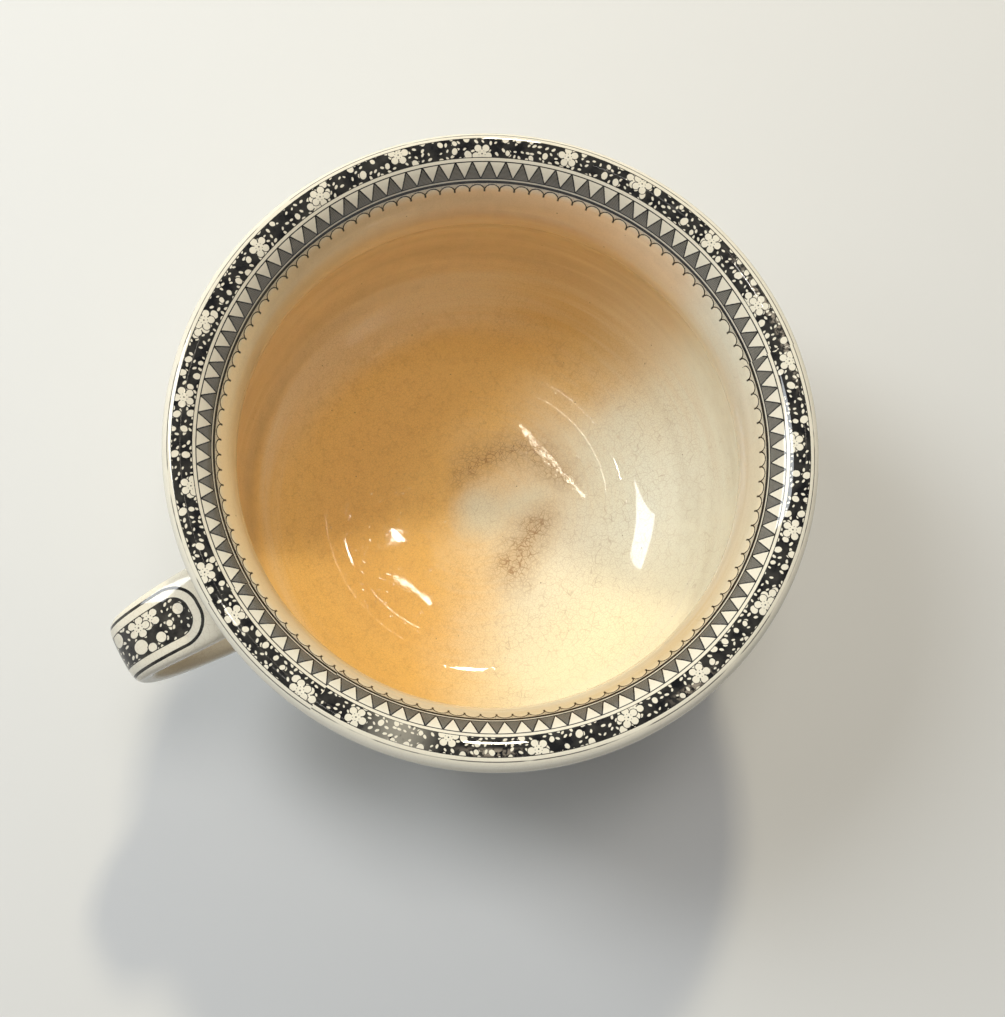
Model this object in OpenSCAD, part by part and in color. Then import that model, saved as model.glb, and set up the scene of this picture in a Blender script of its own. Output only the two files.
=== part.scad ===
// Chamber pot in glazed earthenware: a bellied bowl with a wide turned-out rim,
// and one strap handle stuck on with slip at two places.
// Millimetres, +Z up, origin on the bowl's axis in the plane of the foot, handle towards +X.

/* [Rim] */
// Diameter over the rolled lip
rim_d = 250; // [210:1:290]
// Radius of the rolled lip
lip_r = 4.5; // [3.5:0.1:6]
// How far the crest of the rim stands out from the inside of the neck
rim_overhang = 20.5; // [15:0.5:26]
// Lean, from upright, where the neck gives way to the flare of the rim
flare_lean = 46; // [36:1:52]

/* [Body] */
// Height from the foot to the crest of the rim
pot_h = 142; // [120:1:165]
// Thickness of the wall and the floor
wall_t = 5; // [3.5:0.1:7]
// How far the belly swells out past the neck
belly_swell = 10.5; // [6:0.5:16]
// Radius of the neck's hollow curve, on the inside
neck_round = 32; // [24:1:40]
// Radius of the upper belly, on the inside
belly_round = 70; // [50:1:90]
// Radius where the wall turns into the floor, on the inside
corner_round = 30; // [20:1:40]
// Lean, from upright, where the belly gives way to that turn
corner_lean = 58; // [45:1:70]

/* [Foot] */
// Diameter of the foot ring at the floor line
foot_d = 144; // [125:1:160]
// Width of the face that the foot ring stands on
foot_w = 8; // [5:0.5:12]
// Height of the foot ring
foot_h = 7; // [4:0.5:10]
// How far the foot ring's outer side leans outwards
foot_splay = 2; // [0:0.5:4]
// Radius of the foot ring's edges
foot_edge = 1.2; // [0.5:0.1:2]

/* [Handle] */
// Width of the strap at its upper root
strap_w = 31; // [24:0.5:38]
// Width of the strap at the bend
strap_bend_w = 25; // [20:0.5:32]
// Width of the strap at its lower root
strap_low_w = 27; // [20:0.5:34]
// Thickness of the strap
strap_t = 9; // [7:0.5:11]
// Depth of the strap's top below the crest of the rim
strap_drop = 18; // [15:0.5:24]
// How far the bend reaches past the lip
handle_reach = 37.5; // [28:0.5:46]
// Depth of the bend's outermost point below the upper root
bend_drop = 17; // [12:1:22]
// Height between the two roots
root_gap = 60; // [52:1:66]
// Slope of the strap as it runs into the belly
root_slope = 26; // [10:1:40]
// Squareness of the strap's section, 2 is an ellipse
strap_square = 4; // [2.5:0.5:6]

/* [Slip joints] */
// Thickness of the slip between a root and the wall
slip_t = 1.2; // [0.8:0.1:2]
// How far the slip squeezes out around a root
slip_spread = 1.6; // [1:0.1:3]

/* [Hidden] */
$fn = 128;
ARC_STEP = 6;
SECTION_SIDES = 28;
RINGS_PER_CURVE = 22;
GLAZE = "ivory";
SLIP = "wheat";

// The wall is drawn as a chain of arcs, each tangent to the next. Their centres and radii
// follow from the sizes above, as radius from the axis and height.
crest_r = rim_d / 2 - lip_r;
neck_r = crest_r - rim_overhang;
belly_r = neck_r + belly_swell;
floor_z = foot_h + wall_t;
flare_round = (rim_overhang - neck_round * (1 - cos(flare_lean))) / cos(flare_lean);
neck_z = pot_h - flare_round - (neck_round - flare_round) * sin(flare_lean);
belly_lean = acos(1 - belly_swell / (neck_round + belly_round));
belly_z = neck_z - (neck_round + belly_round) * sin(belly_lean);
low_round = corner_round + (belly_z - floor_z - corner_round) / sin(corner_lean);

lip_c = [crest_r, pot_h - lip_r];
flare_c = [crest_r, pot_h - flare_round];
neck_c = [neck_r + neck_round, neck_z];
belly_c = [belly_r - belly_round, belly_z];
low_c = [belly_r - low_round, belly_z];
corner_c = low_c + (low_round - corner_round) * [cos(corner_lean), -sin(corner_lean)];

// Under the rim one arc runs from the bottom of the lip into the outside of the neck
neck_out = neck_round - wall_t;
under_z = pot_h - 2 * lip_r - neck_z;
under_round = (neck_out * neck_out - under_z * under_z - pow(neck_c.x - crest_r, 2))
    / (2 * (neck_out - under_z));
under_c = [crest_r, neck_z + under_z - under_round];
under_end = 180 + atan2(neck_c.y - under_c.y, neck_c.x - under_c.x);

// Points along an arc, without its last one, which is the next arc's first
function arc(c, r, from, to) =
    let (n = ceil(abs(to - from) / ARC_STEP))
    [for (i = [0 : n - 1]) let (a = from + (to - from) * i / n) c + r * [cos(a), sin(a)]];

// Inside of the wall, from the middle of the floor up to the crest
INSIDE = [
    [0, floor_z],
    each arc(corner_c, corner_round, -90, -corner_lean),
    each arc(low_c, low_round, -corner_lean, 0),
    each arc(belly_c, belly_round, 0, belly_lean),
    each arc(neck_c, neck_round, 180 + belly_lean, 180 - flare_lean),
    each arc(flare_c, flare_round, 180 - flare_lean, 90),
];

foot_r = foot_d / 2;
foot_top_r = foot_r + foot_splay;
foot_turn = -acos((foot_top_r - corner_c.x) / (corner_round + wall_t));
FOOT = [
    corner_c + (corner_round + wall_t) * [cos(foot_turn), sin(foot_turn)],
    each arc([foot_r - foot_edge, foot_edge], foot_edge, 0, -90),
    [foot_r - foot_edge, 0],
    each arc([foot_r - foot_w + foot_edge, foot_edge], foot_edge, -90, -180),
    [foot_r - foot_w, foot_edge],
    [foot_r - foot_w, foot_h],
    [0, foot_h],
];

// Outside of the wall, from the crest down to the foot, set outwards by grow
function outside(grow) = [
    each arc(lip_c, lip_r + grow, 90, -90),
    each arc(under_c, under_round - grow, 90, under_end),
    each arc(neck_c, neck_out - grow, under_end, 180 + belly_lean),
    each arc(belly_c, belly_round + wall_t + grow, belly_lean, 0),
    each arc(low_c, low_round + wall_t + grow, 0, -corner_lean),
    each arc(corner_c, corner_round + wall_t + grow, -corner_lean, foot_turn),
];

// Radius of the outside of the wall at a height between the lower belly and the lip
neck_top_z = neck_z + neck_out * sin(under_end);
neck_low_z = neck_z - neck_out * sin(belly_lean);
function outer_r(z) =
    z > neck_top_z ? under_c.x - sqrt(pow(under_round, 2) - pow(z - under_c.y, 2))
    : z > neck_low_z ? neck_c.x - sqrt(pow(neck_out, 2) - pow(z - neck_z, 2))
    : z > belly_z ? belly_c.x + sqrt(pow(belly_round + wall_t, 2) - pow(z - belly_z, 2))
    : low_c.x + sqrt(pow(low_round + wall_t, 2) - pow(z - belly_z, 2));

module bowl() {
    color(GLAZE) rotate_extrude() polygon([each INSIDE, each outside(0), each FOOT]);
}

// Everything within the outside of the wall, set outwards by grow
module envelope(grow) {
    rotate_extrude() polygon([[0, pot_h], each outside(grow), [0, foot_h]]);
}

// The strap's path lies in the plane y = 0, as two Bezier curves that meet at the bend.
// Both roots start inside the wall, and the wall with its slip is then cut away.
// Pulls are the lengths of the curves' handles, as shares of the run or the drop beside them.
ROOT_SINK = 0.6;
UPPER_PULL = 0.78;
LOWER_PULL = 0.8;
BEND_PULL_UP = 0.8;
BEND_PULL_DOWN = 1;
root_depth = ROOT_SINK * wall_t;
upper_z = pot_h - strap_drop - strap_t / 2;
lower_z = upper_z - root_gap;
upper_root = [outer_r(upper_z) - root_depth, upper_z];
lower_root = [outer_r(lower_z) - root_depth, lower_z];
bend = [rim_d / 2 + handle_reach - strap_t / 2, upper_z - bend_drop];
upper_dir = [1, 0];
lower_dir = [cos(root_slope), sin(root_slope)];
UPPER_CURVE = [
    upper_root,
    upper_root + UPPER_PULL * (bend.x - upper_root.x) * upper_dir,
    bend + [0, BEND_PULL_UP * bend_drop],
    bend,
];
LOWER_CURVE = [
    bend,
    bend - [0, BEND_PULL_DOWN * bend_drop],
    lower_root + LOWER_PULL * (bend.x - lower_root.x) * lower_dir,
    lower_root,
];

function bezier(c, t) =
    pow(1 - t, 3) * c[0] + 3 * t * pow(1 - t, 2) * c[1]
    + 3 * t * t * (1 - t) * c[2] + pow(t, 3) * c[3];
function bezier_dir(c, t) =
    let (d = pow(1 - t, 2) * (c[1] - c[0]) + 2 * t * (1 - t) * (c[2] - c[1])
        + t * t * (c[3] - c[2]))
    d / norm(d);
function ease(t) = t * t * (3 - 2 * t);
function mix(a, b, t) = a + (b - a) * t;

// Rounded strap section as points across and through the strap
function strap_section(w, t) = [
    for (i = [0 : SECTION_SIDES - 1])
    let (a = 360 * i / SECTION_SIDES, p = 2 / strap_square)
    [w / 2 * sign(cos(a)) * pow(abs(cos(a)), p), t / 2 * sign(sin(a)) * pow(abs(sin(a)), p)]
];

// One ring of the strap, square to its path
function strap_ring(curve, t, w) =
    let (c = bezier(curve, t), d = bezier_dir(curve, t))
    [for (p = strap_section(w, strap_t)) [c.x - p.y * d.y, p.x, c.y + p.y * d.x]];

module strap() {
    steps = RINGS_PER_CURVE;
    rings = [
        for (i = [0 : steps - 1]) let (t = i / steps)
        strap_ring(UPPER_CURVE, t, mix(strap_w, strap_bend_w, ease(t))),
        for (i = [0 : steps]) let (t = i / steps)
        strap_ring(LOWER_CURVE, t, mix(strap_bend_w, strap_low_w, ease(t))),
    ];
    n = SECTION_SIDES;
    last = len(rings) - 1;
    polyhedron(
        points = [for (ring = rings, p = ring) p],
        faces = [
            [for (j = [0 : n - 1]) j],
            [for (j = [0 : n - 1]) last * n + n - 1 - j],
            for (i = [0 : last - 1], j = [0 : n - 1], half = [0, 1])
            let (a = i * n + j, b = i * n + (j + 1) % n)
            half == 0 ? [a, a + n, b + n] : [a, b + n, b],
        ]
    );
}

module handle() {
    color(GLAZE)
    difference() {
        strap();
        envelope(slip_t);
    }
}

// Layer of slip under a root, squeezed out a little all round it. The strap's own section,
// grown by that much, is run through the wall along the root and trimmed to the slip's layer.
module slip_pad(root, dir, w) {
    section = strap_section(w + 2 * slip_spread, strap_t + 2 * slip_spread);
    run = 3 * strap_t;
    difference() {
        intersection() {
            multmatrix([
                [0, -dir.y, dir.x, root.x],
                [1, 0, 0, 0],
                [0, dir.x, dir.y, root.y],
            ])
            linear_extrude(height = run, center = true) polygon(section);
            envelope(slip_t);
        }
        envelope(0);
    }
}

module upper_slip() {
    color(SLIP) slip_pad(upper_root, upper_dir, strap_w);
}

module lower_slip() {
    color(SLIP) slip_pad(lower_root, lower_dir, strap_low_w);
}

bowl();
handle();
upper_slip();
lower_slip();
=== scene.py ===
"""Chamber pot in glazed earthenware with a printed rim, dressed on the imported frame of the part."""

import bpy
import numpy as np
from mathutils import Matrix, Vector


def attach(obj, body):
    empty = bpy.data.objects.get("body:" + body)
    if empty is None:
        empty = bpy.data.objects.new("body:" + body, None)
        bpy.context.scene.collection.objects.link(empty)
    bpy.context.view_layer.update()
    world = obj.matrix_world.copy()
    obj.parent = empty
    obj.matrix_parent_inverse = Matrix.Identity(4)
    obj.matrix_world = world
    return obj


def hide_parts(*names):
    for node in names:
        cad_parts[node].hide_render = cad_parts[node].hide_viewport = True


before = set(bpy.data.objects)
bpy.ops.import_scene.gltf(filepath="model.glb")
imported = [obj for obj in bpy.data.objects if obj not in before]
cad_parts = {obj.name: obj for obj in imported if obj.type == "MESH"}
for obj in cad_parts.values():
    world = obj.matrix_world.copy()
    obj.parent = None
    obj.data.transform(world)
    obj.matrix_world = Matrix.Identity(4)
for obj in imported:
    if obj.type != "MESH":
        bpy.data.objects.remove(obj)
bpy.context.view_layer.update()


# Bowl: white earthenware shaped on a wheel in one with its flared rim and its foot ring, then printed
# under the glaze and dipped. The glaze has yellowed and crazed inside, and is wiped off where it stands.
# Sizes in all sections are millimetres in the part's frame, as radius from the axis and height.
RIM_R, LIP_R, OVERHANG, FLARE_LEAN = 125, 4.5, 20.5, 46
POT_H, WALL, SWELL = 142, 5, 10.5
NECK_ROUND, BELLY_ROUND, CORNER_ROUND, CORNER_LEAN = 32, 70, 30, 58
FOOT_R, FOOT_W, FOOT_H, FOOT_SPLAY, FOOT_EDGE = 72, 8, 7, 2, 1.2
FOOT_FILLET, RECESS_FILLET, RECESS_RISE = 2.6, 2, 0.8
POLE_R, FLAT_R, RISE_TURN = 1, 60, -74
WHEEL_MARK, WHEEL_PITCH, WHEEL_DRIFT, DRIFT_RUN = 0.1, 12.5, 1.5, 17
MARKS_TO, MARKS_TO_FADE, MARKS_FROM_R, MARKS_FROM_FADE = -8, 20, 60, 40
SAG, SAG_OUT_AT, SAG_UP_AT = 0.3, 60, -10
BARE_ROWS = [11, 21]
BOWL_COLUMNS = 384
PRINT_JOINT = 27.45
BLACK_LINE_R = 106


def along(angle):
    """Unit vectors that point at these angles, in degrees."""
    angle = np.radians(angle)
    return np.stack([np.cos(angle), np.sin(angle)], -1)


def bow(centre, radius, start, end, count):
    """An arc of the wall: its centre plus its radius, turned from the start angle to the end angle."""
    return centre + radius * along(np.linspace(start, end, count, endpoint=False))


def eased(start, corner, end, count):
    """A rounded corner: the quadratic curve from start to end, pulled towards the corner."""
    t = np.linspace(0, 1, count, endpoint=False)[:, None]
    return (1 - t) ** 2 * start + 2 * t * (1 - t) * corner + t * t * end


def straight(start, end, count):
    """Evenly spaced points from start up to end."""
    t = np.linspace(0, 1, count, endpoint=False)[:, None]
    return (1 - t) * start + t * end


# Each arc is tangent to the next, so every centre follows from the one before it
crest_r = RIM_R - LIP_R
neck_r = crest_r - OVERHANG
belly_r = neck_r + SWELL
floor_z = FOOT_H + WALL
flare_cos, flare_sin = along(FLARE_LEAN)
flare_round = (OVERHANG - NECK_ROUND * (1 - flare_cos)) / flare_cos
neck_z = POT_H - flare_round - (NECK_ROUND - flare_round) * flare_sin
belly_lean = np.degrees(np.arccos(1 - SWELL / (NECK_ROUND + BELLY_ROUND)))
belly_z = neck_z - (NECK_ROUND + BELLY_ROUND) * along(belly_lean)[1]
low_round = CORNER_ROUND + (belly_z - floor_z - CORNER_ROUND) / along(CORNER_LEAN)[1]

lip_c = np.array([crest_r, POT_H - LIP_R])
flare_c = np.array([crest_r, POT_H - flare_round])
neck_c = np.array([neck_r + NECK_ROUND, neck_z])
belly_c = np.array([belly_r - BELLY_ROUND, belly_z])
low_c = np.array([belly_r - low_round, belly_z])
corner_c = low_c + (low_round - CORNER_ROUND) * along(-CORNER_LEAN)
neck_out = NECK_ROUND - WALL
under_z = POT_H - 2 * LIP_R - neck_z
under_round = (neck_out**2 - under_z**2 - (neck_c[0] - crest_r) ** 2) / (2 * (neck_out - under_z))
under_c = np.array([crest_r, neck_z + under_z - under_round])
under_end = 180 + np.degrees(np.arctan2(*(neck_c - under_c)[::-1]))

rise_end = corner_c + CORNER_ROUND * along(RISE_TURN)
rise_meets = rise_end[0] - (rise_end[1] - floor_z) / np.tan(np.radians(90 + RISE_TURN))
inside = np.concatenate([
    straight(np.array([POLE_R, floor_z]), np.array([FLAT_R, floor_z]), 8),
    eased(np.array([FLAT_R, floor_z]), np.array([rise_meets, floor_z]), rise_end, 20),
    bow(corner_c, CORNER_ROUND, RISE_TURN, -CORNER_LEAN, 6),
    bow(low_c, low_round, -CORNER_LEAN, 0, 26),
    bow(belly_c, BELLY_ROUND, 0, belly_lean, 14),
    bow(neck_c, NECK_ROUND, 180 + belly_lean, 180 - FLARE_LEAN, 24),
    bow(flare_c, flare_round, 180 - FLARE_LEAN, 90, 14),
])
corner_out = CORNER_ROUND + WALL
foot_top_r = FOOT_R + FOOT_SPLAY
foot_turn = -np.degrees(np.arccos((foot_top_r - corner_c[0]) / corner_out))
foot_top = corner_c + corner_out * along(foot_turn)
foot_low = np.array([FOOT_R, FOOT_EDGE])
fillet_turn = foot_turn + np.degrees(FOOT_FILLET / corner_out)
fillet_low = foot_top + (foot_low - foot_top) * FOOT_FILLET / np.linalg.norm(foot_low - foot_top)
outside = np.concatenate([
    bow(lip_c, LIP_R, 90, -90, 22),
    bow(under_c, under_round, 90, under_end, 12),
    bow(neck_c, neck_out, under_end, 180 + belly_lean, 12),
    bow(belly_c, BELLY_ROUND + WALL, belly_lean, 0, 12),
    bow(low_c, low_round + WALL, 0, -CORNER_LEAN, 22),
    bow(corner_c, corner_out, -CORNER_LEAN, fillet_turn, 6),
])
recess_r = FOOT_R - FOOT_W
recess_corner = np.array([recess_r, FOOT_H])
recess_pole = np.array([POLE_R, FOOT_H + RECESS_RISE])
foot = np.concatenate([
    eased(corner_c + corner_out * along(fillet_turn), foot_top, fillet_low, 6),
    straight(fillet_low, foot_low, 3),
    bow([FOOT_R - FOOT_EDGE, FOOT_EDGE], FOOT_EDGE, 0, -90, 5),
    straight(np.array([FOOT_R - FOOT_EDGE, 0]), np.array([recess_r + FOOT_EDGE, 0]), 5),
    bow([recess_r + FOOT_EDGE, FOOT_EDGE], FOOT_EDGE, -90, -180, 5),
    straight(np.array([recess_r, FOOT_EDGE]), recess_corner - [0, RECESS_FILLET], 3),
    eased(recess_corner - [0, RECESS_FILLET], recess_corner, recess_corner - [RECESS_FILLET, 0], 6),
    straight(recess_corner - [RECESS_FILLET, 0], recess_pole, 10),
    [recess_pole],
])
profile = np.concatenate([inside, outside, foot])

# Length along the profile, counted from the black line of the print on the inside of the rim
run = np.r_[0, np.cumsum(np.linalg.norm(np.diff(profile, axis=0), axis=1))]
line_turn = np.arccos((neck_c[0] - BLACK_LINE_R) / NECK_ROUND)
run -= np.interp(neck_z + NECK_ROUND * np.sin(line_turn), inside[:, 1], run[: len(inside)])
foot_run = run[len(inside) + len(outside) :]
bare_from, bare_to = foot_run[BARE_ROWS]


def wheel_marks(profile, run):
    """The inside with faint rings left by the wheel: a slow wave along each normal that fades out
    towards the floor and towards the print."""
    ahead = np.gradient(profile, axis=0)
    normal = np.stack([-ahead[:, 1], ahead[:, 0]], 1) / np.linalg.norm(ahead, axis=1, keepdims=True)
    fade = np.clip((MARKS_TO - run) / MARKS_TO_FADE, 0, 1)
    fade *= np.clip((profile[:, 0] - MARKS_FROM_R) / MARKS_FROM_FADE, 0, 1)
    drift = WHEEL_DRIFT * np.sin(run / DRIFT_RUN)
    wave = WHEEL_MARK * fade * np.sin(2 * np.pi * run / WHEEL_PITCH + drift)
    return profile + wave[:, None] * normal


def turned(profile, columns, start):
    """A profile carried round the axis from the start azimuth, with a slight sag that the kiln gave:
    two long waves round the turn, which grow with the square of the height."""
    angle = start + 360 * np.arange(columns) / columns
    lift = (profile[:, 1] / POT_H)[:, None] ** 2 * SAG
    r = profile[:, :1] + lift * np.cos(2 * np.radians(angle - SAG_OUT_AT))
    z = profile[:, 1:] + lift * np.cos(2 * np.radians(angle - SAG_UP_AT))
    around = along(angle)
    return np.stack([r * around[:, 0], r * around[:, 1], z], -1)


def skin(name, grid, u, v, ring=False):
    """A closed skin over a grid of points whose columns run round a piece. The rows either run round
    too, as a ring, or end in a pole at the middle of the first and the last row. u and v give the
    surface coordinates of every row at each column and at the first column again."""
    rows, columns = grid.shape[:2]
    row, column = np.meshgrid(np.arange(rows - 1 + ring), np.arange(columns), indexing="ij")
    corners = [(row, column), (row + 1, column), (row + 1, column + 1), (row, column + 1)]
    quads = np.stack([i % rows * columns + j % columns for i, j in corners], -1).reshape(-1, 4)
    shape = (rows, columns + 1)
    uv = np.stack([np.broadcast_to(u, shape), np.broadcast_to(v, shape)], -1)
    flat = [np.stack([uv[i % rows, j] for i, j in corners], 2).reshape(-1, 2)]
    points, faces = grid.reshape(-1, 3), quads.tolist()
    if not ring:
        j = np.arange(columns)
        first, last, edge = rows * columns, rows * columns + 1, (rows - 1) * columns
        points = np.concatenate([points, grid[[0, -1]].mean(1)])
        faces += np.stack([0 * j + first, j, (j + 1) % columns], 1).tolist()
        faces += np.stack([edge + j, 0 * j + last, edge + (j + 1) % columns], 1).tolist()
        flat += [uv[0][np.stack([j, j, j + 1], 1)].reshape(-1, 2)]
        flat += [uv[-1][np.stack([j, j, j + 1], 1)].reshape(-1, 2)]
    mesh = bpy.data.meshes.new(name)
    mesh.from_pydata(points / 1000, [], faces)
    layer = mesh.uv_layers.new(name="Surface")
    layer.data.foreach_set("uv", np.concatenate(flat).ravel())
    mesh.shade_smooth()
    piece = bpy.data.objects.new(name, mesh)
    bpy.context.scene.collection.objects.link(piece)
    return piece


bowl = skin(
    "printed_bowl",
    turned(wheel_marks(profile, run), BOWL_COLUMNS, PRINT_JOINT),
    np.linspace(0, 1, BOWL_COLUMNS + 1),
    run[:, None],
)


class Field:
    """A value or colour that varies over a piece, held as the shader socket that gives it."""

    def __init__(self, socket):
        self.socket = socket

    def node(self, kind, settings, inputs, out=0):
        """A new node of this kind: its settings first, then a value or a link for each input."""
        tree = self.socket.id_data
        made = tree.nodes.new(kind)
        for name, value in settings.items():
            setattr(made, name, value)
        for place, value in inputs.items():
            if isinstance(value, Field):
                tree.links.new(value.socket, made.inputs[place])
            else:
                made.inputs[place].default_value = value
        return Field(made.outputs[out])

    def beside(self, out):
        """Another output of the node that this field comes from."""
        return Field(self.socket.node.outputs[out])

    def math(self, operation, *values):
        return self.node("ShaderNodeMath", {"operation": operation}, dict(enumerate(values)))

    def __add__(self, other):
        return self.math("ADD", self, other)

    def __sub__(self, other):
        return self.math("SUBTRACT", self, other)

    def __rsub__(self, other):
        return self.math("SUBTRACT", other, self)

    def __mul__(self, other):
        return self.math("MULTIPLY", self, other)

    def __truediv__(self, other):
        return self.math("DIVIDE", self, other)

    def __pow__(self, other):
        return self.math("POWER", self, other)

    def __mod__(self, other):
        return self.math("FLOORED_MODULO", self, other)

    def __abs__(self):
        return self.math("ABSOLUTE", self)

    __radd__, __rmul__ = __add__, __mul__

    def cos(self):
        return self.math("COSINE", self)

    def sin(self):
        return self.math("SINE", self)

    def most(self, other):
        return self.math("MAXIMUM", self, other)

    def least(self, other):
        return self.math("MINIMUM", self, other)

    def past(self, edge):
        """1 beyond an edge and 0 before it, with a hard step."""
        return self.math("GREATER_THAN", self, edge)

    def under(self, edge, soft=0.07):
        """1 below an edge and 0 above it, eased over the soft distance to each side."""
        ends = {"Value": self, "From Min": edge + soft, "From Max": edge - soft}
        return self.node("ShaderNodeMapRange", {"interpolation_type": "SMOOTHSTEP"}, ends)

    def near(self, middle, half, soft=0.07):
        """1 within half a width of a middle value, eased over the soft distance to each side."""
        return abs(self - middle).under(half, soft)

    def paint(self, below, above):
        """One colour where this mask is 0, and the other where it is 1."""
        return self.node("ShaderNodeMix", {"data_type": "RGBA"}, {0: self, 6: below, 7: above}, out=2)

    def parts(self):
        """The three numbers of this vector."""
        x = self.node("ShaderNodeSeparateXYZ", {}, {"Vector": self})
        return x, x.beside("Y"), x.beside("Z")

    def vector(self, x, y, z=0.0):
        return self.node("ShaderNodeCombineXYZ", {}, {"X": x, "Y": y, "Z": z})

    def noise(self, size, detail=2.0):
        """Soft noise around 0.5 whose lumps have this size, at the place that this vector gives."""
        settings = {"Vector": self, "Scale": 1 / size, "Detail": detail}
        return self.node("ShaderNodeTexNoise", {"noise_dimensions": "3D"}, settings)

    def cells(self, size, feature, flat=False, scatter=1.0):
        """Distance in a field of scattered cells of this size: to their seeds, or to their edges."""
        settings = {"voronoi_dimensions": "2D" if flat else "3D", "feature": feature}
        inputs = {"Vector": self, "Scale": 1 / size, "Randomness": scatter}
        return self.node("ShaderNodeTexVoronoi", settings, inputs)


def new_finish(name, piece):
    """A material on a piece, as its shader's field, with the place in millimetres and the surface
    coordinates to draw on."""
    material = bpy.data.materials.new(name)
    material.use_nodes = True
    piece.data.materials.append(material)
    shader = Field(material.node_tree.nodes["Principled BSDF"].outputs[0])
    place = shader.node("ShaderNodeTexCoord", {}, {}, out="Object")
    millimetres = {"operation": "SCALE"}
    place = place.node("ShaderNodeVectorMath", millimetres, {"Vector": place, "Scale": 1000.0})
    surface = shader.node("ShaderNodeUVMap", {"uv_map": "Surface"}, {})
    return shader, place, surface


def finish(shader, **inputs):
    """Put values or fields on the shader's own sockets, named with _ for a space."""
    tree, made = shader.socket.id_data, shader.socket.node
    for name, value in inputs.items():
        socket = made.inputs[name.replace("_", " ")]
        if isinstance(value, Field):
            tree.links.new(value.socket, socket)
        else:
            socket.default_value = value


# Print: a border engraved on copper, pulled on tissue and rubbed on in lengths, so it has joints.
# From the hollow outwards it has scallops, a heavy line, a row of hatched triangles between thin
# lines, a dark band of blossom and seeds, and a last thin line on the lip.
IVORY, INK = (0.80, 0.75, 0.625, 1), (0.005, 0.005, 0.006, 1)
RUBBED_INK = (0.075, 0.038, 0.022, 1)
SECOND_JOINT, PATCH_JOINT = 0.3924, 0.930
# The tissue lay a little off round: waves in the turn, millimetres outwards and degrees of phase
WANDER = [(1, 0.15, 113), (2, 0.21, 131), (3, 0.43, 63)]
SECOND_OUT, PATCH_OUT, STRETCHED = 0.35, 0.36, 1.2
# Where the scallops and the triangles start, as shares of one: first length, second length, patch
SCALLOP_PHASE, TRIANGLE_PHASE = (-0.2, 0.49, 0.15), (-0.33, 0.4, 0.2)
GRAIN_SIZE, GRAIN = 0.7, 0.35
BAND_R = 117
REPEAT = 98.1
FIRST_AT, SECOND_AT, PATCH_AT = 40.3, 231.75, 306.6
# Half widths of the engraved lines, and tones of the hatching as a ground and what the lines add to it
HEAVY_LINE, THIN_LINE, SCALLOP_LINE, TRIANGLE_LINE = 0.6, 0.22, 0.25, 0.28
BAND_LINE, LIP_LINE_HALF = 0.3, 0.2
CUSP_ACROSS, CUSP_UP = (0.38, 0.2), (0.6, 0.3)
HATCH_PITCH, HATCH, FINE_HATCH = 0.5, (0.06, 0.1), (-0.04, 0.1)
TRIANGLE_TONE, GROUND_TONE, LINE_TONE = (0.66, 0.27), (0.14, 0.3), 0.2
SCALLOPS, SCALLOP_TOP, SCALLOP_CUSP, SCALLOP_R = 110, -1.15, -3.75, 104
TRIANGLES, TRIANGLE_BASE, TRIANGLE_TIP, TRIANGLE_R = 107, 1.4, 8.3, 109
GROUND_AT, GROUND_ABOVE, LINE_GROUND_AT = (-2.0, 1.6), 0.2, (0.8, 0.7)
BAND_FROM, BAND_TO = 9.7, 17.7
LIP_LINE = 19.2
# Scattered seeds and ovals: size of a cell, share that is filled, half width, half length, lean
SEEDS, OVALS, OVALS_ASIDE = (2.45, 0.8, 0.42, 0.74, 5.0), (5.2, 0.58, 1.1, 1.35, 1.6), 90
SEED_SCATTER, SEED_LEAST, SEED_RANGE = 0.6, 0.75, 0.5
OVAL_RIM, BLOSSOM_RIM = 0.3, 0.27
# Worn stretches, as a share of the turn, half of the stretch and its soft edge
THIN_AT = (0.043, 0.012, 0.012)
RUBBED_AT = [(0.409, 0.03, 0.02), (0.09, 0.012, 0.012), (0.196, 0.01, 0.01)]
RUBBED_UP = (15.8, 1.3, 0.9)
# Noise that breaks the lip's line and the wear: its lumps' size and detail, and the values that show
BROKEN, BROKEN_UNDER, LIP_TONE, LIP_TONE_LEAST = (16.0, 2.0), (0.6, 0.06), 0.75, 0.1
THIN, THIN_NEAR, THINNED = (3.0, 2.0), (0.5, 0.2, 0.1), 0.35
RUBBED, RUBBED_OVER, RUBBED_OFF = (1.6, 3.0), (0.52, 0.08), 0.3
INKING, INK_MEAN, INK_RANGE = (5.0, 3.0), 0.92, 0.12
PETAL_R, PETAL_AT, HEART_R, STAMEN_AT, STAMEN_R, EYE_R = 1.36, 2.65, 1.7, 1.3, 0.15, 0.3
FIFTH = 2 * np.pi / 5
# Blossoms of one repeat, the lower ones of a pair first: degrees along, millimetres up, turn
BLOSSOMS = [
    (0.0, 15.5, 0.1), (18.5, 11.4, 0.3), (17.1, 13.2, 0.75), (32.5, 13.7, 0.25),
    (51.4, 16.2, 0.6), (50.1, 15.7, 0.15), (65.2, 14.3, 0.4), (82.0, 11.3, 0.75),
]


def ink_grain(place):
    """How far a printed edge strays either way: fine noise, in millimetres."""
    return (place.noise(GRAIN_SIZE) - 0.5) * GRAIN


def blossom(x, y, turn):
    """How far a point is outside a five-petalled blossom, and a mask of its stamens. The angle round
    the blossom is folded into one fifth, where the petal and the stamen are circles on the axis."""
    out = (x * x + y * y) ** 0.5
    fifth = ((y.math("ARCTAN2", y, x) / FIFTH + turn) % 1 - 0.5) * FIFTH
    lean = fifth.cos()

    def circle(at):
        return ((out * out + at * at) - out * lean * (2 * at)) ** 0.5

    edge = (circle(PETAL_AT) - PETAL_R).least(out - HEART_R)
    stamens = circle(STAMEN_AT).under(STAMEN_R).most(out.under(EYE_R))
    return edge, stamens


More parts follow.
